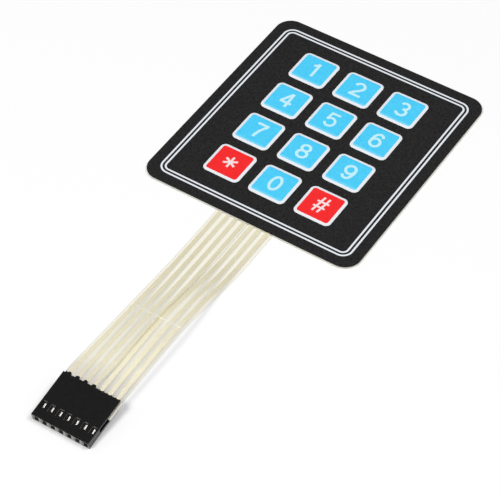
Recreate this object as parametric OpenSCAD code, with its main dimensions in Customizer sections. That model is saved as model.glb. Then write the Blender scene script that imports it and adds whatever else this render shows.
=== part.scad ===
// Membrane keypad: a laminated pad of twelve keys, its two circuit tails and their seven-way socket.
// Millimetres. The origin is the middle of the pad's back face, +Z out of the keys, +Y to the top row.

/* [Pad] */
// Width of the pad
pad_w = 69.2; // [66:0.1:90]
// Length of the pad, from the edge above the top row to the edge that the tails leave
pad_h = 76.9; // [76:0.1:100]
// Radius of the pad's corners
pad_r = 5; // [3.5:0.1:8]

/* [Layers] */
// Thickness of the release liner on the back
liner_t = 0.1; // [0.05:0.01:0.2]
// Thickness of the adhesive between the liner and the lower circuit
rear_adhesive_t = 0.06; // [0.04:0.01:0.15]
// Thickness of each circuit film
film_t = 0.125; // [0.1:0.005:0.2]
// Thickness of the spacer that holds the two circuits apart
spacer_t = 0.15; // [0.1:0.01:0.3]
// Thickness of the adhesive under the graphic overlay
overlay_adhesive_t = 0.05; // [0.04:0.01:0.12]
// Thickness of the graphic overlay's film
overlay_t = 0.2; // [0.15:0.01:0.3]
// Thickness of a printed layer, laid flush into its film
ink_t = 0.03; // [0.02:0.005:0.05]

/* [Keys] */
// Distance between the key columns
key_pitch_x = 15; // [13.5:0.1:16]
// Distance between the key rows
key_pitch_y = 15; // [13.5:0.1:15.4]
// Outer width and height of a key
key_w = 11.8; // [10:0.1:13]
// Radius of a key's outer corners
key_r = 1.65; // [1.1:0.05:2]
// Width of the sloped white border of a key
key_border = 0.85; // [0.5:0.05:1.05]
// Height of a key's embossing above the overlay
emboss_h = 0.2; // [0.1:0.05:0.4]
// Distance of the key block's middle above the pad's middle
key_block_y = 0.4; // [-0.5:0.1:0.5]

/* [Print] */
// Distance from the pad's edge to the outer keyline
line_inset = 3.3; // [2:0.1:4]
// Width of each of the two keylines
line_w = 0.55; // [0.3:0.05:0.8]
// Clear distance between the two keylines
line_gap = 0.65; // [0.4:0.05:1]
// Radius of the outer keyline's corners
line_r = 3.2; // [2.6:0.1:5]

/* [Circuits] */
// Diameter of a printed contact
contact_d = 7; // [5:0.1:8]
// Diameter of the spacer's hole around a contact
spacer_hole_d = 9; // [8.2:0.1:11]
// Width of the spacer's air channels between the holes of a column
vent_w = 1; // [0.5:0.1:2]
// Width of the printed leads in the pad
lead_w = 0.9; // [0.5:0.05:1.1]
// Distance between the middles of neighbouring leads
lead_step = 1.6; // [1.3:0.05:1.8]
// Distance from the contacts to the first lead
lead_clear = 1.8; // [1.2:0.1:2.5]

/* [Tails] */
// Distance of the tails' middle beside the pad's middle
tail_x = 0.4; // [-5:0.1:5]
// Distance from the pad's edge to the socket's back end
tail_l = 71.5; // [66:0.1:120]
// Angle by which the tails and the socket stand out of square to the pad
tail_turn = 0.35; // [-1:0.05:1]
// Width of a printed trace on the tails
trace_w = 1.2; // [0.8:0.05:1.5]
// Film outside the first trace's middle
tail_left = 1.3; // [0.9:0.05:2]
// Film outside the last trace's middle
tail_right = 1.8; // [0.9:0.05:2.5]
// Gap between the row tail and the column tail
tail_gap = 0.2; // [0.1:0.05:0.5]
// Thickness of the cover film over the traces of a tail
cover_t = 0.075; // [0.05:0.005:0.15]
// Gap between the pad's edge and the cover films
cover_gap = 0.2; // [0.2:0.05:0.5]
// Distance from the pad's edge to where the row tail starts to rise
row_lift = 15; // [10:0.5:24]
// Distance from the pad's edge to the middle of the row tail's slope
row_mid = 46; // [38:0.5:56]
// Height of the row tail there
row_mid_z = 2; // [1:0.1:4]
// Angle at which the row tail rises there
row_mid_tilt = 3; // [0:0.5:6]
// Distance from the pad's edge to where the column tail starts to rise
column_lift = 12.5; // [8:0.5:20]
// Distance from the pad's edge to the crown of the column tail
column_mid = 48.5; // [40:0.5:56]
// Height of the column tail there
column_mid_z = 4.8; // [2:0.1:6]
// Length over which a tail bends, just behind the contacts
bend_l = 2; // [1:0.1:4]

/* [Socket] */
// Distance between the contacts
pin_pitch = 2.54; // [2.5:0.01:3]
// Length of the housing, from the mating face to the back end
housing_l = 14.5; // [13:0.1:20]
// Height of the housing
housing_h = 2.4; // [2.2:0.05:3.5]
// Angle by which the mating face points down
housing_tilt = 9.6; // [4:0.1:14]
// Length of the solid nose that holds the contact boxes
nose_l = 5; // [4.9:0.1:6]
// Thickness of the front wall that the pins pass through
front_wall = 0.9; // [0.7:0.05:1.2]
// Width of the lead-in at the mating face
funnel_w = 2; // [1.4:0.05:2.1]
// Depth of the lead-in
funnel_d = 0.6; // [0.4:0.05:0.65]
// Width of the square pin hole
pin_hole_w = 0.95; // [0.8:0.01:1.05]
// Thickness of the ribs between the contacts
rib_t = 0.4; // [0.3:0.05:0.6]
// Length of the ribs behind the nose
rib_l = 3.6; // [2:0.1:4]
// Gap between the ribs and the ends of the tail films
film_gap = 0.2; // [0.1:0.05:0.5]
// Width of a latch window
window_w = 1.2; // [0.9:0.05:1.4]
// Length of a latch window
window_l = 2.1; // [1.4:0.05:2.1]
// Distance from the mating face to a latch window
window_y = 2.7; // [2:0.05:2.8]

/* [Contacts] */
// Width of a contact's box
box_w = 1.7; // [1.5:0.05:1.9]
// Height of a contact's box
box_h = 1.4; // [1.2:0.05:1.5]
// Length of a contact's box behind the front wall
box_l = 4.6; // [4.2:0.1:6]
// Thickness of the contact's sheet metal
stock_t = 0.18; // [0.15:0.01:0.22]
// Clearance around a contact's box in the nose
box_fit = 0.05; // [0.03:0.01:0.08]
// Width of the crimp tongue
tongue_w = 1.3; // [1.1:0.05:1.5]
// Length of the crimp tongue that stands out behind the housing
tongue_out = 1.1; // [0.6:0.1:2]
// Length of a crimp tine along the tongue
tine_l = 0.9; // [0.6:0.05:1.1]
// Distance that a tine stands out of the far side of the film
tine_out = 0.15; // [0.1:0.01:0.2]
// Clearance around a tine in the film
tine_fit = 0.04; // [0.02:0.01:0.06]
// Width of the latch lance
lance_w = 0.4; // [0.3:0.05:0.7]
// Clearance of the latch lance in its window
lance_gap = 0.1; // [0.05:0.01:0.15]
// Height of the latch lance above the box
lance_h = 0.35; // [0.2:0.05:0.4]

/* [Hidden] */
$fn = 64;
key_cols = 3;
key_rows = 4;
pins = key_rows + key_cols;
// Cuts and joins reach this far past a face
reach = 0.02;
// Length of tail film that lies inside the pad, where it is one with its circuit film
root = 2;
// Steps of each curved stretch of a tail
curve_steps = 14;

// Heights of the layers above the table
rear_adhesive_z = liner_t;
lower_film_z = rear_adhesive_z + rear_adhesive_t;
spacer_z = lower_film_z + film_t;
upper_film_z = spacer_z + spacer_t;
overlay_adhesive_z = upper_film_z + film_t;
overlay_z = overlay_adhesive_z + overlay_adhesive_t;
face_z = overlay_z + overlay_t;
key_top_z = face_z + emboss_h;
field_w = key_w - 2*key_border;
pad_edge = -pad_h/2;

// Places of the keys, contacts and leads
function key_x(c) = (c - (key_cols - 1)/2)*key_pitch_x;
function key_y(r) = key_block_y + ((key_rows - 1)/2 - r)*key_pitch_y;
function pin_x(i) = (i - (pins - 1)/2)*pin_pitch;
function lead_x(r) = key_x(0) - contact_d/2 - lead_clear - (key_rows - 1 - r)*lead_step;
function row_turn_y(r) = key_y(key_rows - 1) - contact_d/2 - lead_clear - (key_rows - 1 - r)*lead_step;
function column_turn_y(c) = key_y(key_rows - 1) - contact_d/2 - lead_clear - (key_cols - 1 - c)*lead_step;

// The socket's frame: its front lower edge lies on the table, its back end is raised by the tilt
housing_w = pins*pin_pitch;
housing_front = pad_edge - tail_l - housing_l*cos(housing_tilt);
tongue_z = (housing_h - stock_t)/2;
jaw_t = (housing_h - box_h)/2 - box_fit;
film_end = nose_l + rib_l + film_gap;
function socket_y(y, z) = housing_front + y*cos(housing_tilt) - z*sin(housing_tilt);
function socket_z(y, z) = y*sin(housing_tilt) + z*cos(housing_tilt);
tine_places = [housing_l - 3*tine_l, housing_l + tongue_out - tongue_w/2 - tine_l/2];

// A tail's stations are [y, height, slope], and the curve between two of them is a cubic
function curve_z(a, b, t) = a[1]*(1 + 2*t)*pow(1 - t, 2) + b[1]*t*t*(3 - 2*t)
    + (b[0] - a[0])*(a[2]*t*pow(1 - t, 2) + b[2]*t*t*(t - 1));
function curve_slope(a, b, t) = (b[1] - a[1])/(b[0] - a[0])*6*t*(1 - t)
    + a[2]*(1 - t)*(1 - 3*t) + b[2]*t*(3*t - 2);
function span(a, b) = [for (i = [1:curve_steps]) let (t = i/curve_steps)
    [a[0] + (b[0] - a[0])*t, curve_z(a, b, t), curve_slope(a, b, t)]];
function at_socket(y, z) = [socket_y(y, z), socket_z(y, z), tan(housing_tilt)];
// Where a tail that leaves the contacts has turned towards its middle station
function bend_from(out, middle) = let (slope = (middle[1] - out[1])/(middle[0] - out[0]))
    [out[0] + bend_l, out[1] + bend_l*(out[2] + slope)/2, slope];
function tail_path(start, z, lift, mid, mid_z, mid_slope, end_z) =
    let (low = [pad_edge - lift, z, 0], middle = [pad_edge - mid, mid_z, mid_slope],
        out = at_socket(housing_l + tongue_out, end_z), bend = bend_from(out, middle))
    concat([[start, z, 0], low], span(low, middle), span(middle, bend), span(bend, out),
        [at_socket(film_end, end_z)]);
// A point of the path, raised along its normal
function raised(p, d) = [p[0] - d*p[2]/sqrt(1 + p[2]*p[2]), p[1] + d/sqrt(1 + p[2]*p[2])];

row_end_z = tongue_z - cover_t - film_t;
column_end_z = tongue_z + stock_t + cover_t;
function row_path(start) =
    tail_path(start, lower_film_z, row_lift, row_mid, row_mid_z, -tan(row_mid_tilt), row_end_z);
function column_path(start) =
    tail_path(start, upper_film_z, column_lift, column_mid, column_mid_z, 0, column_end_z);
row_from = pin_x(0) - tail_left;
row_to = (pin_x(key_rows - 1) + pin_x(key_rows))/2 - tail_gap/2;
column_from = row_to + tail_gap;
column_to = pin_x(pins - 1) + tail_right;

// Flat outline with round corners
module rounded_rect(w, h, r) {
    square([w - 2*r, h], center = true);
    square([w, h - 2*r], center = true);
    for (x = [-1, 1], y = [-1, 1])
        translate([x*(w/2 - r), y*(h/2 - r)]) circle(r);
}

module pad_sheet(z, t) {
    translate([0, 0, z]) linear_extrude(t) rounded_rect(pad_w, pad_h, pad_r);
}

module at_keys() {
    for (c = [0:key_cols - 1], r = [0:key_rows - 1])
        translate([key_x(c), key_y(r), 0]) children();
}

// The keys in the corners of the bottom row are red, all others are blue
module at_red_keys() {
    for (c = [0, key_cols - 1])
        translate([key_x(c), key_y(key_rows - 1), 0]) children();
}

module at_blue_keys() {
    for (c = [0:key_cols - 1], r = [0:key_rows - 1])
        if (r < key_rows - 1 || (c > 0 && c < key_cols - 1))
            translate([key_x(c), key_y(r), 0]) children();
}

// The tails' own frame turns about the middle of their root at the pad's edge
module at_tail() {
    translate([tail_x, pad_edge, 0]) rotate([0, 0, tail_turn]) translate([0, -pad_edge, 0]) children();
}

module at_socket_frame() {
    at_tail() translate([0, housing_front, 0]) rotate([housing_tilt, 0, 0]) children();
}

// Strip along a tail's path, between two heights above it
module ribbon(path, from_x, to_x, low, high) {
    at_tail() translate([from_x, 0, 0]) rotate([90, 0, 90]) linear_extrude(to_x - from_x)
        polygon(concat([for (p = path) raised(p, low)],
            [for (i = [len(path) - 1:-1:0]) raised(path[i], high)]));
}

// Embossed key: sloped sides and conical corners under a flat top, standing on a short straight foot
module key_hill(base_z, foot) {
    core = key_w - 2*key_r;
    translate([0, 0, base_z]) {
        for (turn = [0, 90])
            rotate([90, 0, turn]) linear_extrude(core, center = true)
                polygon([[-key_w/2, -foot], [key_w/2, -foot], [key_w/2, 0], [field_w/2, emboss_h],
                    [-field_w/2, emboss_h], [-key_w/2, 0]]);
        for (x = [-1, 1], y = [-1, 1])
            translate([x*core/2, y*core/2, 0]) {
                cylinder(h = emboss_h, r1 = key_r, r2 = key_r - key_border);
                translate([0, 0, -foot]) cylinder(h = foot, r = key_r);
            }
    }
}

// The flat middle of a key, inside its border
module key_field(z, t) {
    translate([0, 0, z]) linear_extrude(t) rounded_rect(field_w, field_w, key_r - key_border);
}

module keyline(inset, z, t) {
    r = line_r - (inset - line_inset);
    translate([0, 0, z]) linear_extrude(t) difference() {
        rounded_rect(pad_w - 2*inset, pad_h - 2*inset, r);
        rounded_rect(pad_w - 2*inset - 2*line_w, pad_h - 2*inset - 2*line_w, r - line_w);
    }
}

module keylines(extra) {
    keyline(line_inset, face_z - ink_t, ink_t + extra);
    keyline(line_inset + line_w + line_gap, face_z - ink_t, ink_t + extra);
}

module release_liner() {
    color("whitesmoke") pad_sheet(0, liner_t);
}

module rear_adhesive() {
    color("lightyellow") pad_sheet(rear_adhesive_z, rear_adhesive_t);
}

// A straight lead between two points of the film, with round ends
module lead(a, b) {
    side = [a[0] == b[0] ? lead_w/2 : 0, a[1] == b[1] ? lead_w/2 : 0];
    low = [min(a[0], b[0]), min(a[1], b[1])] - side;
    high = [max(a[0], b[0]), max(a[1], b[1])] + side;
    translate(low) square(high - low);
    for (end = [a, b]) translate(end) circle(lead_w/2);
}

module trace_root(i) {
    translate([tail_x + pin_x(i) - trace_w/2, pad_edge]) square([trace_w, root]);
}

module row_print(r) {
    for (c = [0:key_cols - 1])
        translate([key_x(c), key_y(r)]) circle(contact_d/2);
    lead([lead_x(r), key_y(r)], [key_x(key_cols - 1), key_y(r)]);
    lead([lead_x(r), row_turn_y(r)], [lead_x(r), key_y(r)]);
    lead([lead_x(r), row_turn_y(r)], [tail_x + pin_x(r), row_turn_y(r)]);
    lead([tail_x + pin_x(r), pad_edge + root/2], [tail_x + pin_x(r), row_turn_y(r)]);
    trace_root(r);
}

module column_print(c) {
    i = key_rows + c;
    for (r = [0:key_rows - 1])
        translate([key_x(c), key_y(r)]) circle(contact_d/2);
    lead([key_x(c), column_turn_y(c)], [key_x(c), key_y(0)]);
    lead([min(key_x(c), tail_x + pin_x(i)), column_turn_y(c)],
        [max(key_x(c), tail_x + pin_x(i)), column_turn_y(c)]);
    lead([tail_x + pin_x(i), pad_edge + root/2], [tail_x + pin_x(i), column_turn_y(c)]);
    trace_root(i);
}

// The slits that the tines of contacts first to last pass through
module tine_slits(first, last) {
    at_socket_frame() for (i = [first:last], side = [-1, 1], y = tine_places)
        translate([pin_x(i) + side*(tongue_w - stock_t)/2, y, housing_h/2])
            cube([stock_t + 2*tine_fit, tine_l + 2*tine_fit, housing_h], center = true);
}

// Row prints lie flush in the upper side of the lower film, extra is the room above them
module row_ink(r, extra) {
    translate([0, 0, lower_film_z + film_t - ink_t]) linear_extrude(ink_t + extra) row_print(r);
    ribbon(row_path(pad_edge + root), pin_x(r) - trace_w/2, pin_x(r) + trace_w/2,
        film_t - ink_t, film_t + extra);
}

module row_traces() {
    color("tan") difference() {
        for (r = [0:key_rows - 1]) row_ink(r, 0);
        tine_slits(0, key_rows - 1);
    }
}

module lower_circuit_film() {
    color("ivory") difference() {
        union() {
            pad_sheet(lower_film_z, film_t);
            ribbon(row_path(pad_edge + root), row_from, row_to, 0, film_t);
        }
        for (r = [0:key_rows - 1]) row_ink(r, reach);
        tine_slits(0, key_rows - 1);
    }
}

module row_tail_cover() {
    color("aliceblue") difference() {
        ribbon(row_path(pad_edge - cover_gap), row_from, row_to, film_t, film_t + cover_t);
        tine_slits(0, key_rows - 1);
    }
}

// Column prints lie flush in the lower side of the upper film, extra is the room below them
module column_ink(c, extra) {
    i = key_rows + c;
    translate([0, 0, upper_film_z - extra]) linear_extrude(ink_t + extra) column_print(c);
    ribbon(column_path(pad_edge + root), pin_x(i) - trace_w/2, pin_x(i) + trace_w/2, -extra, ink_t);
}

module column_traces() {
    color("tan") difference() {
        for (c = [0:key_cols - 1]) column_ink(c, 0);
        tine_slits(key_rows, pins - 1);
    }
}

module upper_circuit_film() {
    color("ivory") difference() {
        union() {
            pad_sheet(upper_film_z, film_t);
            ribbon(column_path(pad_edge + root), column_from, column_to, 0, film_t);
        }
        for (c = [0:key_cols - 1]) column_ink(c, reach);
        tine_slits(key_rows, pins - 1);
    }
}

module column_tail_cover() {
    color("aliceblue") difference() {
        ribbon(column_path(pad_edge - cover_gap), column_from, column_to, -cover_t, 0);
        tine_slits(key_rows, pins - 1);
    }
}

module circuit_spacer() {
    color("gainsboro") difference() {
        pad_sheet(spacer_z, spacer_t);
        translate([0, 0, spacer_z - reach]) linear_extrude(spacer_t + 2*reach) {
            at_keys() circle(spacer_hole_d/2);
            for (c = [0:key_cols - 1])
                translate([key_x(c) - vent_w/2, key_y(key_rows - 1)])
                    square([vent_w, (key_rows - 1)*key_pitch_y]);
        }
    }
}

module overlay_adhesive() {
    color("lightyellow") difference() {
        pad_sheet(overlay_adhesive_z, overlay_adhesive_t);
        at_keys() translate([0, 0, overlay_adhesive_z - reach])
            linear_extrude(overlay_adhesive_t + 2*reach) rounded_rect(key_w, key_w, key_r);
    }
}

module graphic_overlay() {
    color([0.16, 0.15, 0.15]) difference() {
        union() {
            difference() {
                pad_sheet(overlay_z, overlay_t);
                at_keys() translate([0, 0, face_z - ink_t])
                    linear_extrude(ink_t + reach) rounded_rect(key_w, key_w, key_r);
            }
            at_keys() key_hill(face_z - ink_t, overlay_t/2);
        }
        at_keys() key_hill(overlay_z, reach);
        keylines(reach);
    }
}

module white_print() {
    color("white") {
        at_keys() difference() {
            key_hill(face_z, ink_t);
            key_hill(face_z - ink_t, reach);
            key_field(face_z, emboss_h + reach);
        }
        keylines(0);
    }
}

module blue_key_print() {
    color([0.3, 0.8, 1]) at_blue_keys() key_field(key_top_z - ink_t, ink_t);
}

module red_key_print() {
    color([1, 0.18, 0.2]) at_red_keys() key_field(key_top_z - ink_t, ink_t);
}

// Square opening that narrows along +Y
module square_taper(wide, narrow, depth) {
    intersection() {
        translate([0, 0, -wide/2]) linear_extrude(wide)
            polygon([[-wide/2, 0], [wide/2, 0], [narrow/2, depth], [-narrow/2, depth]]);
        translate([-wide/2, 0, 0]) rotate([90, 0, 90]) linear_extrude(wide)
            polygon([[0, -wide/2], [depth, -narrow/2], [depth, narrow/2], [0, wide/2]]);
    }
}

// One contact's way through the nose: lead-in, pin hole, box cavity and latch window
module contact_way() {
    cavity_w = box_w + 2*box_fit;
    cavity_h = box_h + 2*box_fit;
    translate([0, 0, housing_h/2]) {
        square_taper(funnel_w, pin_hole_w, funnel_d);
        translate([-pin_hole_w/2, 0, -pin_hole_w/2])
            cube([pin_hole_w, front_wall + reach, pin_hole_w]);
        translate([-cavity_w/2, front_wall, -cavity_h/2])
            cube([cavity_w, nose_l - front_wall + reach, cavity_h]);
    }
    translate([-window_w/2, window_y, housing_h/2]) cube([window_w, window_l, housing_h/2 + reach]);
}

module connector_housing() {
    back_l = housing_l - nose_l;
    color([0.13, 0.13, 0.14]) at_socket_frame() difference() {
        translate([-housing_w/2, 0, 0]) cube([housing_w, housing_l, housing_h]);
        difference() {
            translate([-housing_w/2 - reach, nose_l, jaw_t])
                cube([housing_w + 2*reach, back_l + reach, housing_h - 2*jaw_t]);
            for (i = [1:pins - 1])
                translate([(pin_x(i - 1) + pin_x(i))/2 - rib_t/2, nose_l - reach, 0])
                    cube([rib_t, rib_l + reach, housing_h]);
        }
        for (i = [0:pins - 1]) translate([pin_x(i), 0, 0]) contact_way();
    }
}

// Sheet-metal contact: a box for the pin, a latch lance and a tongue with tines that pierce the film
module terminal(i) {
    up = i >= key_rows;
    tongue_l = housing_l + tongue_out - front_wall - box_l;
    lance_l = window_l - 2*lance_gap;
    lance_x = (window_w - lance_w)/2 - lance_gap;
    color("silver") at_socket_frame() translate([pin_x(i), front_wall, 0]) {
        difference() {
            translate([-box_w/2, 0, (housing_h - box_h)/2]) cube([box_w, box_l, box_h]);
            translate([-box_w/2 + stock_t, -reach, (housing_h - box_h)/2 + stock_t])
                cube([box_w - 2*stock_t, box_l - stock_t + reach, box_h - 2*stock_t]);
        }
        translate([lance_x, window_y - front_wall + lance_gap, (housing_h + box_h)/2])
            rotate([90, 0, 90]) linear_extrude(lance_w, center = true)
                polygon([[0, -stock_t/2], [lance_l, -stock_t/2], [lance_l, lance_h],
                    [lance_l - stock_t, lance_h]]);
        translate([-tongue_w/2, box_l - stock_t/2, tongue_z])
            cube([tongue_w, tongue_l - tongue_w/2 + stock_t/2, stock_t]);
        translate([0, box_l + tongue_l - tongue_w/2, tongue_z]) cylinder(h = stock_t, d = tongue_w);
        for (side = [-1, 1], y = tine_places)
            translate([side*(tongue_w - stock_t)/2 - stock_t/2, y - front_wall - tine_l/2,
                up ? tongue_z + stock_t/2 : tongue_z - film_t - cover_t - tine_out])
                cube([stock_t, tine_l, stock_t/2 + film_t + cover_t + tine_out]);
    }
}

release_liner();
rear_adhesive();
lower_circuit_film();
row_traces();
row_tail_cover();
circuit_spacer();
upper_circuit_film();
column_traces();
column_tail_cover();
overlay_adhesive();
graphic_overlay();
white_print();
blue_key_print();
red_key_print();
connector_housing();
terminal(0);  // terminal_1
terminal(1);  // terminal_2
terminal(2);  // terminal_3
terminal(3);  // terminal_4
terminal(4);  // terminal_5
terminal(5);  // terminal_6
terminal(6);  // terminal_7
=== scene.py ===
"""Membrane keypad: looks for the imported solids, in metres, in the frame of the pad's back face."""
from math import cos, radians, sin

import bpy
from mathutils import Matrix, Vector


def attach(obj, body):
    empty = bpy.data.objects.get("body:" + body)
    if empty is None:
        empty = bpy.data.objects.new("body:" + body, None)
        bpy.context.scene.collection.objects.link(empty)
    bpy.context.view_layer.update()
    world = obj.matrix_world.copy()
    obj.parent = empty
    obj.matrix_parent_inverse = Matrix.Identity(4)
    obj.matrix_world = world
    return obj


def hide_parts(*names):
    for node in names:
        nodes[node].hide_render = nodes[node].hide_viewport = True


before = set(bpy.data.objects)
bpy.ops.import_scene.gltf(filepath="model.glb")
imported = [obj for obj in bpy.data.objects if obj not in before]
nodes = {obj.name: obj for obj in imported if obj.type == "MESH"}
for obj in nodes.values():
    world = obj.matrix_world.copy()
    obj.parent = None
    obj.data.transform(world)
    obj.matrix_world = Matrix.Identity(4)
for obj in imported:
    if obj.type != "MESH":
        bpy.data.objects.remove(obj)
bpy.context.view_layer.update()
bpy.ops.object.select_all(action="DESELECT")

MM = 0.001

# Keys
KEY_PITCH = 15 * MM
KEY_BLOCK_Y = 0.4 * MM
KEY_TOP = 1.01 * MM
# Where the slopes at a key's lower and upper edge start and end, in pitches from its middle; a painted
# highlight lies on the lower slope and painted shade on the upper one
KEY_SLOPES = {"Lower": (-0.27, -0.345), "Upper": (0.29, 0.335)}
# Strength of the painted highlight on the lower slope and of the painted shade on the upper slope
LOWER_HIGHLIGHT_SHARE = 0.6
UPPER_SHADE_SHARE = 0.5

# Socket frame: the middle of the front lower edge, turned with the tails, its nose pointing down
PAD_EDGE = -38.45 * MM
TAIL_X = 0.4 * MM
TAIL_L = 71.5 * MM
TAIL_TURN = radians(0.35)
HOUSING_TILT = radians(9.6)
HOUSING_W = 17.78 * MM
HOUSING_L = 14.5 * MM
HOUSING_H = 2.4 * MM
SOCKET_Y = PAD_EDGE - TAIL_L - HOUSING_L * cos(HOUSING_TILT)
socket_frame = (Matrix.Translation((TAIL_X, PAD_EDGE, 0)) @ Matrix.Rotation(TAIL_TURN, 4, "Z")
                @ Matrix.Translation((0, SOCKET_Y - PAD_EDGE, 0)) @ Matrix.Rotation(HOUSING_TILT, 4, "X"))
to_socket = socket_frame.inverted()
PINS = 7
PIN_PITCH = 2.54 * MM

# Creases across the row tail and the column tail, where a painted highlight lies along the fold
ROW_FOLD_Y = -80.4 * MM
COLUMN_FOLD_Y = -82.2 * MM
FOLD_HALF = 0.14 * MM
# Where the ink of the tails is darkest and where its painted sheen makes it palest, and how much light each
# of its faces lets through
INK_DARK_Y = -57 * MM
INK_FULL_SHEEN_Y = -100 * MM
INK_LETS_THROUGH = 0.7
# Where the painted shade on the films near the socket begins and where it is full
FILM_SHADE_FROM = -101 * MM
FILM_SHADE_TO = -110 * MM
# The part of a contact's lance left bright, in the socket frame; the rest of the contact is painted dark for
# shade
LANCE_Z = 1.93 * MM
LANCE_END = 4.45 * MM
# The painted highlight on the ribs of the mating face: how deep, how far from a pin's middle in pitches, and
# how far from the edges
HIGHLIGHT_DEPTH = 0.62 * MM
HIGHLIGHT_FROM = 0.25
HIGHLIGHT_MARGIN = 0.1 * MM
# The painted highlight along the far end of a latch window: its place, depth, half width in pitches and
# strength
WINDOW_END = 4.8 * MM
WINDOW_HIGHLIGHT_DEPTH = 0.22 * MM
WINDOW_HALF = 0.22
WINDOW_HIGHLIGHT = 0.3
# Where the painted highlight on the margin of the column film starts, in the socket frame
MARGIN_FROM = 8.5 * MM


# Shared surface effects


def new_group(name, inputs, outputs):
    group = bpy.data.node_groups.new(name, "ShaderNodeTree")
    for label, value in inputs:
        socket = group.interface.new_socket(label, in_out="INPUT", socket_type="NodeSocketFloat")
        socket.default_value = value
    for label in outputs:
        group.interface.new_socket(label, in_out="OUTPUT", socket_type="NodeSocketFloat")
    enter = group.nodes.new("NodeGroupInput")
    leave = group.nodes.new("NodeGroupOutput")
    return group, enter.outputs, leave.inputs


def feed(tree, socket, value):
    """Link a socket to another one, or set its value."""
    if isinstance(value, bpy.types.NodeSocket):
        tree.links.new(value, socket)
    else:
        socket.default_value = value


def put(tree, kind, links=(), **settings):
    """A node of this kind, with its inputs linked or set by name or place."""
    node = tree.nodes.new("ShaderNode" + kind)
    for key, value in settings.items():
        setattr(node, key, value)
    for key, value in dict(links).items():
        feed(tree, node.inputs[key], value)
    return node


def math_node(tree, operation, a, b=0.0, clamp=False):
    return put(tree, "Math", {0: a, 1: b}, operation=operation, use_clamp=clamp).outputs[0]


def times(tree, a, b):
    return math_node(tree, "MULTIPLY", a, b)


def between(tree, value, low, high):
    """1 where the value lies between the two limits, and 0 elsewhere."""
    return times(tree, math_node(tree, "GREATER_THAN", value, low), math_node(tree, "LESS_THAN", value, high))


def blend_colours(tree, share, a, b, blend_type="MIX"):
    """From the first colour to the second one; these inputs of a Mix node are known by place only."""
    node = put(tree, "Mix", {"Factor": share}, data_type="RGBA", blend_type=blend_type)
    feed(tree, node.inputs[6], a)
    feed(tree, node.inputs[7], b)
    return node.outputs[2]


def scaled(tree, share, low, high):
    """A value that goes from low to high as the share goes from 0 to 1."""
    return put(tree, "MapRange", {"Value": share, "To Min": low, "To Max": high}).outputs[0]


def share_of(tree, value, start, end):
    """A share that goes from 0 to 1 as the value goes from start to end."""
    return put(tree, "MapRange", {"Value": value, "From Min": start, "From Max": end}).outputs[0]


def place_on_piece(tree):
    return put(tree, "TexCoord").outputs["Object"]


def place_along_part(tree):
    return put(tree, "SeparateXYZ", {0: place_on_piece(tree)}).outputs["Y"]


def place_in_socket(tree):
    """Coordinates in the socket frame."""
    spot = put(tree, "Mapping", {"Vector": place_on_piece(tree), "Location": socket_frame.to_translation(),
                                 "Rotation": socket_frame.to_euler()}, vector_type="TEXTURE").outputs[0]
    return put(tree, "SeparateXYZ", {0: spot}).outputs


def make_fine_grain():
    """The fine tooth of a film or a moulding: a height, and a slow drift over it, both from 0 to 1."""
    inputs = [("Grains per metre", 6000.0), ("Drifts per metre", 120.0)]
    group, given, result = new_group("fine_grain", inputs, ["Height", "Drift"])
    place = place_on_piece(group)
    fine = put(group, "TexNoise", {"Vector": place, "Scale": given[0], "Detail": 3.0, "Roughness": 0.6})
    slow = put(group, "TexNoise", {"Vector": place, "Scale": given[1], "Detail": 2.0})
    group.links.new(fine.outputs["Fac"], result["Height"])
    group.links.new(slow.outputs["Fac"], result["Drift"])
    return group


def make_dust_specks():
    """Sparse small specks: a mask that is 1 on a speck, in fewer than half of the cells."""
    empty_cells = 0.55
    inputs = [("Cells per metre", 400.0), ("Speck size", 0.05)]
    group, given, result = new_group("dust_specks", inputs, ["Mask"])
    cells = put(group, "TexVoronoi", {"Vector": place_on_piece(group), "Scale": given[0]})
    lot = put(group, "SeparateColor", {0: cells.outputs["Color"]}).outputs[0]
    few = math_node(group, "GREATER_THAN", lot, empty_cells)
    near = math_node(group, "LESS_THAN", cells.outputs["Distance"], given[1])
    group.links.new(times(group, few, near), result["Mask"])
    return group


def make_key_edge():
    """How far a place on a key is into the slope at the lower edge of its field, and at the upper edge, where
    painted highlight and shade go.
    """
    group, _, result = new_group("key_edge", [], list(KEY_SLOPES))
    up = math_node(group, "SUBTRACT", place_along_part(group), KEY_BLOCK_Y)
    rows = math_node(group, "DIVIDE", up, KEY_PITCH)
    local = math_node(group, "SUBTRACT", math_node(group, "FRACT", rows), 0.5)
    for label, (start, end) in KEY_SLOPES.items():
        group.links.new(share_of(group, local, start, end), result[label])
    return group


def make_film_end():
    """The share of painted shade on a film: 1 where it runs into the socket, falling to 0 a few millimetres
    before it.
    """
    group, _, result = new_group("film_end", [], ["Share"])
    near = share_of(group, place_along_part(group), FILM_SHADE_FROM, FILM_SHADE_TO)
    group.links.new(near, result["Share"])
    return group


def make_ink_painted_sheen():
    """The share of painted sheen that pales the ink: 0 at its darkest, a little way from the pad, and 1 at
    the socket.
    """
    group, _, result = new_group("ink_painted_sheen", [], ["Share"])
    away = math_node(group, "ABSOLUTE", math_node(group, "SUBTRACT", place_along_part(group), INK_DARK_Y))
    pale = math_node(group, "DIVIDE", away, INK_DARK_Y - INK_FULL_SHEEN_Y, clamp=True)
    group.links.new(pale, result["Share"])
    return group


def make_lance_glint_mask():
    """1 on the bright front of a contact's lance, above its box, and 0 on the rest, which is painted dark for
    shade.
    """
    group, _, result = new_group("lance_glint_mask", [], ["Mask"])
    local = place_in_socket(group)
    high = math_node(group, "GREATER_THAN", local["Z"], LANCE_Z)
    front = math_node(group, "LESS_THAN", local["Y"], LANCE_END)
    group.links.new(times(group, high, front), result["Mask"])
    return group


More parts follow.
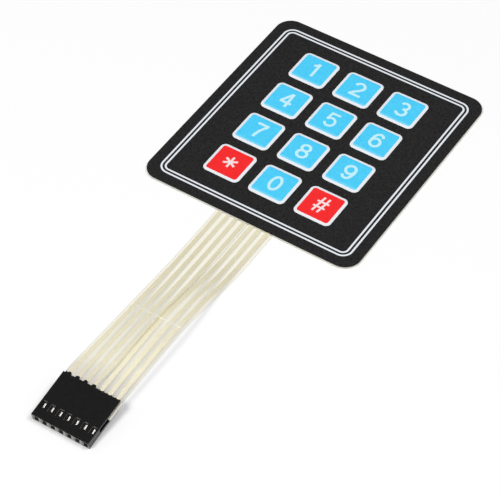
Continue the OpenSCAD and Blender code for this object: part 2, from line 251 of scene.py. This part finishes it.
def make_housing_highlight_mask():
    """Where painted highlight goes: 1 on the ribs between the pins' lead-ins, and less at the far end of each
    latch window.
    """
    group, _, result = new_group("housing_highlight_mask", [], ["Mask"])
    local = place_in_socket(group)
    ways = math_node(group, "DIVIDE", local["X"], PIN_PITCH)
    beside = math_node(group, "ABSOLUTE", math_node(group, "SUBTRACT", ways, math_node(group, "ROUND", ways)))
    rib = times(group, math_node(group, "GREATER_THAN", beside, HIGHLIGHT_FROM),
                math_node(group, "LESS_THAN", local["Y"], HIGHLIGHT_DEPTH))
    inner_half = HOUSING_W / 2 - HIGHLIGHT_MARGIN
    inside = times(group, between(group, local["Z"], HIGHLIGHT_MARGIN, HOUSING_H - HIGHLIGHT_MARGIN),
                   between(group, local["X"], -inner_half, inner_half))
    end = times(group, between(group, local["Y"], WINDOW_END, WINDOW_END + WINDOW_HIGHLIGHT_DEPTH),
                math_node(group, "LESS_THAN", beside, WINDOW_HALF))
    top = math_node(group, "GREATER_THAN", local["Z"], HOUSING_H - HIGHLIGHT_MARGIN)
    line = times(group, times(group, end, top), WINDOW_HIGHLIGHT)
    group.links.new(math_node(group, "MAXIMUM", times(group, rib, inside), line), result["Mask"])
    return group


fine_grain = make_fine_grain()
dust_specks = make_dust_specks()
key_edge = make_key_edge()
film_end = make_film_end()
ink_painted_sheen = make_ink_painted_sheen()
lance_glint_mask = make_lance_glint_mask()
housing_highlight_mask = make_housing_highlight_mask()


# Finishes


def place_group(tree, group, **values):
    node = tree.nodes.new("ShaderNodeGroup")
    node.node_tree = group
    for key, value in values.items():
        node.inputs[key.replace("_", " ")].default_value = value
    return node.outputs


def new_finish(name):
    material = bpy.data.materials.new(name)
    material.use_nodes = True
    return material, material.node_tree, material.node_tree.nodes["Principled BSDF"].inputs


def pass_light(tree, share):
    """Let this share of the light through to what lies behind, without showing it."""
    rays = tree.nodes.new("ShaderNodeLightPath").outputs
    clear = put(tree, "BsdfTransparent").outputs[0]
    face = tree.nodes["Principled BSDF"].outputs[0]
    through = times(tree, rays["Is Shadow Ray"], share)
    mixed = put(tree, "MixShader", {0: through, 1: face, 2: clear})
    tree.links.new(mixed.outputs[0], tree.nodes["Material Output"].inputs["Surface"])


def grained(name, dark, light, rough, grain=6000.0, drift=120.0, depth=2e-6, specks=None, shine=0.5,
            bite=1.0):
    """A finish with a fine tooth and a colour that drifts between two shades, further the larger the bite."""
    material, tree, surface = new_finish(name)
    tooth = place_group(tree, fine_grain, Grains_per_metre=grain, Drifts_per_metre=drift)
    both = times(tree, math_node(tree, "ADD", tooth["Height"], tooth["Drift"]), 0.5)
    reach = 0.5 / bite
    share = share_of(tree, both, 0.5 - reach, 0.5 + reach)
    colour = blend_colours(tree, share, (*dark, 1), (*light, 1))
    if specks:
        cells, size, dust = specks
        mask = place_group(tree, dust_specks, Cells_per_metre=cells, Speck_size=size)["Mask"]
        colour = blend_colours(tree, mask, colour, (*dust, 1))
    tree.links.new(colour, surface["Base Color"])
    tree.links.new(scaled(tree, tooth["Height"], *rough), surface["Roughness"])
    bump = put(tree, "Bump", {"Height": tooth["Height"], "Strength": 1.0, "Distance": depth})
    tree.links.new(bump.outputs[0], surface["Normal"])
    surface["Specular IOR Level"].default_value = shine
    return material


def paint_slope_light_and_shade(material, pale, slope_shade_colour):
    """Painted light and shade on the slopes of the raised keys: a painted highlight at the lower edge,
    painted shade at the upper one.
    """
    tree = material.node_tree
    colour = tree.nodes["Principled BSDF"].inputs["Base Color"]
    slope = place_group(tree, key_edge)
    low = times(tree, slope["Lower"], LOWER_HIGHLIGHT_SHARE)
    high = times(tree, slope["Upper"], UPPER_SHADE_SHARE)
    lit = blend_colours(tree, low, colour.links[0].from_socket, (*pale, 1))
    tree.links.new(blend_colours(tree, high, lit, (*slope_shade_colour, 1)), colour)


def clear_film(name, pale, tinted, socket_shade_grey):
    """Film that light goes straight through, taking a little of its colour, with painted shade greying it
    towards the socket.
    """
    material, tree, surface = new_finish(name)
    drift = place_group(tree, fine_grain, Drifts_per_metre=60.0)["Drift"]
    tint = blend_colours(tree, drift, (*pale, 1), (*tinted, 1))
    end = place_group(tree, film_end)["Share"]
    tree.links.new(blend_colours(tree, end, tint, (*socket_shade_grey, 1)), surface["Base Color"])
    surface["Transmission Weight"].default_value = 1.0
    surface["Roughness"].default_value = 0.0
    surface["IOR"].default_value = 1.0
    return material


def crease(name, thin, thick):
    """A painted highlight along a fold in the film, stronger in some places than in others."""
    material = grained(name, dark=(0.94, 0.93, 0.88), light=(0.99, 0.98, 0.94), rough=(0.4, 0.6))
    tree = material.node_tree
    patchy = place_group(tree, fine_grain, Drifts_per_metre=500.0)["Drift"]
    tree.links.new(scaled(tree, patchy, thin, thick), tree.nodes["Principled BSDF"].inputs["Alpha"])
    return material


def ink_finish(name, dark, pale):
    """Printed ink with a painted sheen that pales it away from its darkest place, a little way from the pad;
    it lets some light through to the table.
    """
    material = grained(name, dark=(0.97, 0.97, 0.97), light=(1.0, 1.0, 1.0), rough=(0.5, 0.7), grain=900.0)
    tree = material.node_tree
    colour = tree.nodes["Principled BSDF"].inputs["Base Color"]
    sheen_colour = blend_colours(tree, place_group(tree, ink_painted_sheen)["Share"], (*dark, 1), (*pale, 1))
    mottled = blend_colours(tree, 1.0, sheen_colour, colour.links[0].from_socket, blend_type="MULTIPLY")
    tree.links.new(mottled, colour)
    pass_light(tree, INK_LETS_THROUGH)
    return material


def housing_finish():
    """Black moulded plastic with a satin face, with painted grey highlight on the ribs between the lead-ins
    of the pins and at the far ends of the latch windows.
    """
    material = grained("housing_black", dark=(0.0006, 0.0006, 0.0006), light=(0.003, 0.0028, 0.0028),
                       rough=(0.2, 0.3), grain=1500.0, drift=600.0, depth=3e-6, bite=4.0)
    highlight_grey = (0.3, 0.295, 0.28, 1)
    tree = material.node_tree
    colour = tree.nodes["Principled BSDF"].inputs["Base Color"]
    highlight_share = place_group(tree, housing_highlight_mask)["Mask"]
    tree.links.new(blend_colours(tree, highlight_share, colour.links[0].from_socket, highlight_grey), colour)
    return material


def contact_finish():
    """Tin-plated sheet metal, painted dark for shade in the latch windows and on the crimp ends, but bright
    on the front of the sprung lance.
    """
    shade_dark_metal = (0.022, 0.02, 0.019, 1)
    lighter_shade_dark_metal = (0.05, 0.047, 0.043, 1)
    bare_tin = (0.42, 0.41, 0.4, 1)
    material, tree, surface = new_finish("contact_metal")
    tooth = place_group(tree, fine_grain, Grains_per_metre=4000.0, Drifts_per_metre=300.0)
    bare = place_group(tree, lance_glint_mask)["Mask"]
    dark = blend_colours(tree, tooth["Drift"], shade_dark_metal, lighter_shade_dark_metal)
    tree.links.new(blend_colours(tree, bare, dark, bare_tin), surface["Base Color"])
    tree.links.new(scaled(tree, tooth["Height"], 0.3, 0.5), surface["Roughness"])
    surface["Metallic"].default_value = 1.0
    return material


# The tooth of the overlay shows through its prints; the dust on it is cells per metre, size and colour
OVERLAY_TOOTH = {"grain": 2400.0, "drift": 1500.0}
OVERLAY_DUST = (330.0, 0.035, (0.07, 0.07, 0.068))
overlay_black = grained("overlay_black", dark=(0.0004, 0.0003, 0.0004), light=(0.0185, 0.0176, 0.0179),
                        rough=(0.5, 0.66), depth=6e-6, specks=OVERLAY_DUST, shine=0.32, bite=4.0,
                        **OVERLAY_TOOTH)
print_white = grained("print_white", dark=(0.79, 0.83, 0.88), light=(0.86, 0.89, 0.93), rough=(0.5, 0.65))
print_blue = grained("print_blue", dark=(0.044, 0.575, 0.93), light=(0.082, 0.675, 1.0), rough=(0.45, 0.6),
                     depth=3e-6, bite=3.0, **OVERLAY_TOOTH)
# Painted highlight on the lower slope of each blue key and painted shade on its upper slope
paint_slope_light_and_shade(print_blue, pale=(0.42, 0.86, 0.98), slope_shade_colour=(0.05, 0.5, 0.86))
print_red = grained("print_red", dark=(0.88, 0.007, 0.009), light=(1.0, 0.014, 0.016), rough=(0.45, 0.6),
                    depth=3e-6, bite=3.0, **OVERLAY_TOOTH)
legend_on_blue = grained("legend_on_blue", dark=(0.5, 0.87, 0.96), light=(0.62, 0.9, 0.98), rough=(0.45, 0.6))
legend_on_red = grained("legend_on_red", dark=(0.93, 0.72, 0.74), light=(0.97, 0.8, 0.82), rough=(0.45, 0.6))
# The last colour is the painted shade on the films near the socket
tail_film = clear_film("tail_film", pale=(0.967, 0.955, 0.89), tinted=(0.952, 0.939, 0.865),
                       socket_shade_grey=(0.86, 0.845, 0.805))
film_edge = grained("film_edge", dark=(0.7, 0.68, 0.58), light=(0.78, 0.76, 0.66), rough=(0.4, 0.6))
# Painted highlights along the folds; the column tail's is stronger
row_crease = crease("row_crease", thin=0.2, thick=0.5)
column_crease = crease("column_crease", thin=0.6, thick=0.95)
# The pale colours are the painted sheen towards the socket; the column ink carries more of it
row_ink = ink_finish("row_ink", dark=(0.73, 0.685, 0.53), pale=(0.87, 0.815, 0.66))
column_ink = ink_finish("column_ink", dark=(0.73, 0.685, 0.53), pale=(0.96, 0.9, 0.72))
spacer_film = grained("spacer_film", dark=(0.7, 0.7, 0.69), light=(0.78, 0.78, 0.77), rough=(0.3, 0.5))
adhesive = grained("adhesive", dark=(0.6, 0.54, 0.44), light=(0.7, 0.64, 0.54), rough=(0.3, 0.5))
liner_paper = grained("liner_paper", dark=(0.74, 0.72, 0.66), light=(0.84, 0.82, 0.77), rough=(0.5, 0.7),
                      grain=2500.0, depth=1e-5)
housing_black = housing_finish()
contact_metal = contact_finish()

FINISHES = {
    "release_liner": liner_paper,
    "rear_adhesive": adhesive,
    "lower_circuit_film": tail_film,
    "row_traces": row_ink,
    "row_tail_cover": tail_film,
    "circuit_spacer": spacer_film,
    "upper_circuit_film": tail_film,
    "column_traces": column_ink,
    "column_tail_cover": tail_film,
    "overlay_adhesive": adhesive,
    "graphic_overlay": overlay_black,
    "white_print": print_white,
    "blue_key_print": print_blue,
    "red_key_print": print_red,
    "connector_housing": housing_black,
}
for number in range(1, PINS + 1):
    FINISHES[f"terminal_{number}"] = contact_metal
for name, finish in FINISHES.items():
    nodes[name].data.materials.clear()
    nodes[name].data.materials.append(finish)


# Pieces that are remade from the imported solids

MERGE_WITHIN = 0.0001 * MM
ON_FACE_WITHIN = 0.001 * MM
FLAT_ANGLE = radians(0.2)
SMOOTH_ANGLE = radians(18)
SHARP_ANGLE = radians(30)
# A face with at least this much of its normal along Z counts as the top or the underside of a film
FLAT_SHARE = 0.5
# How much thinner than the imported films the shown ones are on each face, so that no two faces coincide
SKIN = 0.003 * MM
EDGE_ROUND = 0.07 * MM
# Finishes of a sheet, by number: the first is the clear film
EDGE_FINISH = 1
CREASE_FINISH = 2


def pick(piece):
    bpy.ops.object.select_all(action="DESELECT")
    piece.select_set(True)
    bpy.context.view_layer.objects.active = piece


def whole_copy(name, label):
    """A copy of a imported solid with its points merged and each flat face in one, left open for editing."""
    mesh = nodes[name].data.copy()
    mesh.transform(nodes[name].matrix_world)
    mesh.name = label
    piece = bpy.data.objects.new(label, mesh)
    bpy.context.scene.collection.objects.link(piece)
    pick(piece)
    bpy.ops.mesh.customdata_custom_splitnormals_clear()
    bpy.ops.object.mode_set(mode="EDIT")
    bpy.ops.mesh.select_mode(type="EDGE")
    bpy.ops.mesh.select_all(action="SELECT")
    bpy.ops.mesh.remove_doubles(threshold=MERGE_WITHIN)
    bpy.ops.mesh.dissolve_limited(angle_limit=FLAT_ANGLE)
    bpy.ops.mesh.normals_make_consistent(inside=False)
    return piece


def hand_over(piece, name):
    """Close a piece that was open for editing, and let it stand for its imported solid."""
    bpy.ops.object.mode_set(mode="OBJECT")
    bpy.ops.object.shade_smooth_by_angle(angle=SMOOTH_ANGLE)
    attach(piece, "root")
    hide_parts(name)


def thin_down(depth):
    bpy.ops.mesh.select_all(action="SELECT")
    bpy.ops.transform.shrink_fatten(value=-depth)


def cut_through(place, normal):
    """Divide the faces of the piece that is open along a plane."""
    bpy.ops.mesh.select_all(action="SELECT")
    bpy.ops.mesh.bisect(plane_co=place, plane_no=normal)


def paint_faces(piece, number, chosen):
    """Give the faces that are chosen the finish with this number."""
    bpy.ops.mesh.select_mode(type="FACE")
    bpy.ops.mesh.select_all(action="DESELECT")
    bpy.ops.object.mode_set(mode="OBJECT")
    for face in piece.data.polygons:
        face.select = chosen(face)
    bpy.ops.object.mode_set(mode="EDIT")
    piece.active_material_index = number
    bpy.ops.object.material_slot_assign()


def is_film_edge(face):
    return abs(face.normal.z) < FLAT_SHARE


def in_margin(face):
    """Whether a face is on top of the film's margin at the socket's side."""
    spot = to_socket @ face.center
    return face.normal.z > FLAT_SHARE and spot.x > MARGIN_FROM and spot.y < HOUSING_L


def paint_fold_highlight(sheet, fold_y, fold_highlight):
    """A narrow strip of painted highlight across the top of a sheet, along its fold."""
    sheet.data.materials.append(fold_highlight)
    for edge_y in (fold_y - FOLD_HALF, fold_y + FOLD_HALF):
        cut_through((0, edge_y, 0), (0, 1, 0))
    paint_faces(sheet, CREASE_FINISH,
                lambda face: abs(face.center.y - fold_y) < FOLD_HALF and face.normal.z > FLAT_SHARE)


def paint_margin_highlight(sheet):
    """A strip of painted highlight where the sheet stands out of the socket's side slot."""
    across, along = socket_frame.col[0].xyz, socket_frame.col[1].xyz
    cut_through(socket_frame @ Vector((MARGIN_FROM, 0, 0)), across)
    cut_through(socket_frame @ Vector((0, HOUSING_L, 0)), along)
    paint_faces(sheet, EDGE_FINISH, in_margin)


def make_ink(name):
    """The traces, a little inside their grooves in the film."""
    traces = whole_copy(name, name + "_ink")
    thin_down(2 * SKIN)
    hand_over(traces, name)
    traces.visible_diffuse = False


def make_sheet(name, fold_y=None, fold_highlight=None, margin_highlight=False):
    """A film or cover shaded as one smooth sheet; only the ink in it shades the table."""
    sheet = whole_copy(name, name + "_sheet")
    thin_down(SKIN)
    sheet.data.materials.append(film_edge)
    paint_faces(sheet, EDGE_FINISH, is_film_edge)
    if fold_highlight:
        paint_fold_highlight(sheet, fold_y, fold_highlight)
    if margin_highlight:
        paint_margin_highlight(sheet)
    hand_over(sheet, name)
    sheet.visible_shadow = False
    sheet.visible_diffuse = False


def on_outside(point):
    """Whether a point of the housing lies on one of its six outer faces."""
    x, y, z = to_socket @ point
    gaps = (abs(x) - HOUSING_W / 2, y, y - HOUSING_L, z, z - HOUSING_H)
    return min(abs(gap) for gap in gaps) < ON_FACE_WITHIN


def make_housing():
    """The housing with its moulded edges rounded."""
    housing = whole_copy("connector_housing", "socket_housing")
    bpy.ops.mesh.select_all(action="DESELECT")
    bpy.ops.object.mode_set(mode="OBJECT")
    sides = {}
    for face in housing.data.polygons:
        for key in face.edge_keys:
            sides.setdefault(key, []).append(face.normal)
    outer = [on_outside(vertex.co) for vertex in housing.data.vertices]
    for edge in housing.data.edges:
        a, b = edge.key
        normals = sides[edge.key]
        edge.select = (outer[a] and outer[b] and len(normals) == 2
                       and normals[0].angle(normals[1]) > SHARP_ANGLE)
    bpy.ops.object.mode_set(mode="EDIT")
    bpy.ops.mesh.bevel(offset=EDGE_ROUND, segments=2)
    hand_over(housing, "connector_housing")


make_ink("row_traces")
make_ink("column_traces")
make_sheet("lower_circuit_film")
make_sheet("row_tail_cover", ROW_FOLD_Y, row_crease)
make_sheet("upper_circuit_film", COLUMN_FOLD_Y, column_crease, margin_highlight=True)
make_sheet("column_tail_cover")
make_housing()


# Legends: paths of the middles of the strokes, in millimetres about a legend's middle, each open or closed

LEGENDS = ("123", "456", "789", "*0#")
SIGN_NAMES = {"*": "star", "#": "hash"}
MIDDLE_COLUMN = 1
MIDDLE_ROW = 1.5
LEGEND_RISE = 0.2 * MM
LEGEND_THICK = 0.02 * MM
LEGEND_SMOOTH = radians(40)
# Widths of the strokes, in millimetres as the paths are
STROKE = 0.86
THIN_STROKES = {"*": 0.7, "#": 0.64, "5": 0.78}
STROKE_MERGE = 1e-5
STAR_REACH = 2.15


def arc(x, y, across, up, start, end, steps=20):
    """Points on an ellipse from one angle to another, in degrees."""
    turn = [radians(start + (end - start) * i / steps) for i in range(steps + 1)]
    return [(x + across * cos(a), y + up * sin(a)) for a in turn]


def ring(x, y, across, up, steps=40):
    return arc(x, y, across, up, 0, 360, steps)[:-1]


def star_arm(angle, x, y):
    dx, dy = STAR_REACH * cos(radians(angle)), STAR_REACH * sin(radians(angle))
    return [(x + dx, y + dy), (x - dx, y - dy)]


STROKES = {
    "0": [(ring(0, 0, 1.48, 2.56), True)],
    "1": [([(0.42, -2.93), (0.42, 2.93)], False),
          ([(-1.05, 1.5), (-0.4, 1.86), (0.1, 2.3), (0.42, 2.75)], False)],
    "2": [(arc(0, 1.12, 1.42, 1.44, 172, -28)
           + [(0.6, -0.35), (-0.75, -1.55), (-1.3, -2.25), (-1.42, -2.7)], False),
          ([(-1.85, -2.56), (1.9, -2.56)], False)],
    "3": [(arc(-0.02, 1.32, 1.3, 1.24, 158, -95), False),
          (arc(-0.02, -1.2, 1.5, 1.36, 95, -162), False)],
    "4": [([(0.72, -2.93), (0.72, 2.93)], False),
          ([(-1.75, -1.12), (1.9, -1.12)], False),
          ([(0.62, 2.9), (-1.6, -1.12)], False)],
    "5": [([(-1.28, 2.56), (1.65, 2.56)], False),
          ([(-0.98, 2.56), (-1.38, -0.15)], False),
          (arc(-0.02, -0.92, 1.52, 1.64, 152, -160), False)],
    "6": [(ring(0.02, -0.98, 1.47, 1.58), True),
          (arc(0.08, 1.02, 1.34, 1.54, 18, 96, 8)
           + [(-0.75, 2.16), (-1.22, 1.2), (-1.46, -0.2), (-1.45, -0.98)], False)],
    "7": [([(-1.85, 2.56), (1.85, 2.56)], False),
          ([(1.5, 2.4), (0.75, 1.35), (0.1, -0.15), (-0.32, -1.7), (-0.46, -2.93)], False)],
    "8": [(ring(0, 1.36, 1.3, 1.2), True),
          (ring(0, -1.18, 1.5, 1.38), True)],
    "*": [(star_arm(30, 0, 0.02), False),
          (star_arm(90, 0.03, 0), False),
          (star_arm(150, -0.02, -0.03), False)],
    "#": [([(-1.25, -3.0), (-0.35, 3.0)], False),
          ([(0.35, -3.0), (1.25, 3.0)], False),
          ([(-2.0, -1.02), (1.72, -1.02)], False),
          ([(-1.72, 1.02), (2.0, 1.02)], False)],
}
STROKES["9"] = [([(-x, -y) for x, y in path], closed) for path, closed in STROKES["6"]]


def stroke_mesh(name, path, closed, width):
    """Half a rounded bead along the path, a thousand times as large as it will be."""
    curve = bpy.data.curves.new(name, "CURVE")
    curve.dimensions = "3D"
    curve.bevel_depth = width / 2
    curve.bevel_resolution = 3
    curve.use_fill_caps = True
    line = curve.splines.new("POLY")
    line.points.add(len(path) - 1)
    for point, (x, y) in zip(line.points, path):
        point.co = (x, y, 0, 1)
    line.use_cyclic_u = closed
    stroke = bpy.data.objects.new(name, curve)
    bpy.context.scene.collection.objects.link(stroke)
    pick(stroke)
    bpy.ops.object.convert(target="MESH")
    stroke = bpy.context.object
    bpy.ops.object.mode_set(mode="EDIT")
    bpy.ops.mesh.select_all(action="SELECT")
    bpy.ops.mesh.remove_doubles(threshold=STROKE_MERGE)
    bpy.ops.mesh.normals_make_consistent(inside=False)
    bpy.ops.mesh.bisect(plane_co=(0, 0, 0), plane_no=(0, 0, 1), use_fill=True, clear_inner=True)
    bpy.ops.mesh.select_all(action="SELECT")
    bpy.ops.mesh.normals_make_consistent(inside=False)
    bpy.ops.object.mode_set(mode="OBJECT")
    return stroke


def make_legend(sign, x, y):
    """The strokes of one sign joined, brought to size and pressed flat on its key."""
    name = "legend_" + SIGN_NAMES.get(sign, sign)
    width = THIN_STROKES.get(sign, STROKE)
    beads = [stroke_mesh(name, path, closed, width) for path, closed in STROKES[sign]]
    legend = beads[0]
    for bead in beads[1:]:
        pick(legend)
        join = legend.modifiers.new("join", "BOOLEAN")
        join.operation = "UNION"
        join.solver = "MANIFOLD"
        join.object = bead
        bpy.ops.object.modifier_apply(modifier="join")
        bpy.data.objects.remove(bead)
    pick(legend)
    bpy.ops.object.mode_set(mode="EDIT")
    bpy.ops.mesh.select_all(action="SELECT")
    bpy.ops.transform.resize(value=(MM, MM, LEGEND_THICK / (width / 2)), center_override=(0, 0, 0))
    bpy.ops.object.mode_set(mode="OBJECT")
    legend.name = name
    legend.data.name = name
    legend.location = (x, y, KEY_TOP)
    pick(legend)
    bpy.ops.object.transform_apply(location=True, rotation=True, scale=True)
    bpy.ops.object.shade_smooth_by_angle(angle=LEGEND_SMOOTH)
    legend.data.materials.clear()
    legend.data.materials.append(legend_on_red if sign in SIGN_NAMES else legend_on_blue)
    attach(legend, "root")


for row, signs in enumerate(LEGENDS):
    for column, sign in enumerate(signs):
        key_y = KEY_BLOCK_Y + (MIDDLE_ROW - row) * KEY_PITCH
        make_legend(sign, (column - MIDDLE_COLUMN) * KEY_PITCH, key_y + LEGEND_RISE)


# Stage, light and camera

WHITE = (1, 1, 1, 1)
TABLE_SIZE = 8
TABLE_Z = -0.03 * MM
TABLE_PALE = (0.95, 0.95, 0.95, 1)
TABLE_GLOW = 0.04
SKY_LIGHT = 0.25
SKY_SEEN = 1.0
LAMP_AIM = Vector((0, -0.04, 0))


def area_lamp(name, place, side, power):
    lamp = bpy.data.lights.new(name, "AREA")
    lamp.shape = "SQUARE"
    lamp.size = side
    lamp.energy = power
    holder = bpy.data.objects.new(name, lamp)
    holder.location = place
    holder.rotation_euler = (LAMP_AIM - Vector(place)).to_track_quat("-Z", "Y").to_euler()
    bpy.context.scene.collection.objects.link(holder)


bpy.ops.object.select_all(action="DESELECT")
bpy.ops.mesh.primitive_plane_add(size=TABLE_SIZE, location=(0, 0, TABLE_Z))
floor = bpy.context.object
floor.name = "table"
paper, tree, surface = new_finish("table_white")
surface["Base Color"].default_value = TABLE_PALE
surface["Roughness"].default_value = 0.9
surface["Specular IOR Level"].default_value = 0.0
rays = tree.nodes.new("ShaderNodeLightPath").outputs
mirrored = math_node(tree, "MAXIMUM", rays["Is Glossy Ray"], rays["Is Transmission Ray"])
seen = math_node(tree, "MAXIMUM", rays["Is Camera Ray"], mirrored)
surface["Emission Color"].default_value = WHITE
tree.links.new(times(tree, seen, TABLE_GLOW), surface["Emission Strength"])
floor.data.materials.append(paper)

scene = bpy.context.scene
world = bpy.data.worlds.new("studio")
scene.world = world
world.use_nodes = True
tree = world.node_tree
sky = tree.nodes["Background"].inputs
sky["Color"].default_value = WHITE
rays = tree.nodes.new("ShaderNodeLightPath").outputs
tree.links.new(scaled(tree, rays["Is Camera Ray"], SKY_LIGHT, SKY_SEEN), sky["Strength"])

area_lamp("window", (-0.5, -1.3, 2.1), side=0.75, power=31)
area_lamp("ceiling", (1.0, 0.25, 2.25), side=1.2, power=25)

camera = bpy.data.cameras.new("camera")
camera.sensor_width = 36
camera.lens = 153.36
viewer = bpy.data.objects.new("camera", camera)
viewer.location = (0.213973, -0.371068, 0.432135)
viewer.rotation_euler = (radians(41.7225), radians(-0.3771), radians(32.8888))
scene.collection.objects.link(viewer)
scene.camera = viewer
scene.view_settings.view_transform = "Standard"
